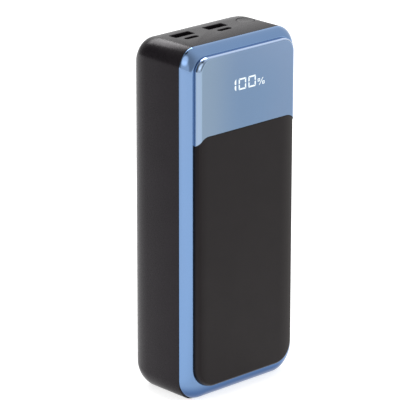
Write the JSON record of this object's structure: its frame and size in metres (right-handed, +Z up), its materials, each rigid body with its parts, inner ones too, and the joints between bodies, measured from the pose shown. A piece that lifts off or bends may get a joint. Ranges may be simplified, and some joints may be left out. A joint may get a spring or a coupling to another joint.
{
  "type": "power bank",
  "caption": "Upright slab power bank with a matt tub housing, a blue chromed front frame, a mirror display lens, top ports and a power button.",
  "frame": {"origin": "middle of the base, on the surface it stands on", "axes": "+Z up along its height, front towards -Y, +X to the right seen from the front"},
  "size_m": [0.075, 0.045, 0.182],
  "materials": {
    "housing_plastic": "fine matt texture",
    "frame_chrome": "blue mirror plating",
    "lens_mirror": "blue half-mirror film behind clear plastic",
    "panel_plastic": "satin",
    "button_plastic": "satin",
    "black_foam": "open-cell foam",
    "adhesive_tape": "matt",
    "fibre_sheet": "fish paper",
    "carrier_plastic": "moulded",
    "circuit_board": "solder mask",
    "plated_steel": "plated",
    "connector_plastic": "moulded",
    "chip_plastic": "moulded",
    "ferrite": "matt",
    "can_aluminium": "satin",
    "nickel_strip": "satin",
    "cell_foil": "laminated foil",
    "red_insulation": "satin",
    "black_insulation": "satin",
    "ribbon_film": "film",
    "display_plastic": "gloss"
  },
  "bodies": {
    "housing": {"rear_housing": "housing_plastic", "front_frame": "frame_chrome", "front_panel": "panel_plastic", "display_lens": "lens_mirror", "panel_tape": "adhesive_tape", "lens_tape": "adhesive_tape", "frame_screw_1": "plated_steel", "frame_screw_2": "plated_steel", "frame_screw_3": "plated_steel", "frame_screw_4": "plated_steel", "usb_a_shell_1": "plated_steel", "usb_c_shell_1": "plated_steel", "usb_a_tongue_1": "connector_plastic", "usb_c_tongue_1": "connector_plastic", "inductor_1": "ferrite", "board_screw_1": "plated_steel", "cell_foam_1": "black_foam", "usb_a_shell_2": "plated_steel", "usb_c_shell_2": "plated_steel", "usb_a_tongue_2": "connector_plastic", "usb_c_tongue_2": "connector_plastic", "inductor_2": "ferrite", "board_screw_2": "plated_steel", "cell_foam_2": "black_foam", "capacitor_1": "can_aluminium", "battery_cell_1": "cell_foil", "negative_tab_1": "nickel_strip", "positive_tab_1": "nickel_strip", "capacitor_2": "can_aluminium", "battery_cell_2": "cell_foil", "negative_tab_2": "nickel_strip", "positive_tab_2": "nickel_strip", "capacitor_3": "can_aluminium", "battery_cell_3": "cell_foil", "negative_tab_3": "nickel_strip", "positive_tab_3": "nickel_strip", "switch_body": "chip_plastic", "main_board": "circuit_board", "controller_chip": "chip_plastic", "charger_chip": "chip_plastic", "ribbon_socket": "connector_plastic", "board_carrier": "carrier_plastic", "display_module": "display_plastic", "light_shield": "black_foam", "display_board": "circuit_board", "display_ribbon": "ribbon_film", "rear_foam": "black_foam", "shelf_foam": "black_foam", "insulation_sheet": "fibre_sheet", "protection_board": "circuit_board", "protection_chip": "chip_plastic", "negative_lead": "black_insulation", "positive_lead": "red_insulation"},
    "button": {"power_button": "button_plastic"},
    "plunger": {"switch_plunger": "plated_steel"}
  },
  "joints": [
    {"name": "button_press", "type": "slide", "parent": "housing", "child": "button", "axis": [0, 0, -1], "range_m": [0, 0.0004], "stiffness_N_per_m": 1500},
    {"name": "plunger_press", "type": "slide", "parent": "housing", "child": "plunger", "axis": [0, 0, -1], "range_m": [0, 0.0004]}
  ],
  "couplings": [
    {"joint": "plunger_press", "follows": "button_press", "ratio": 1}
  ]
}
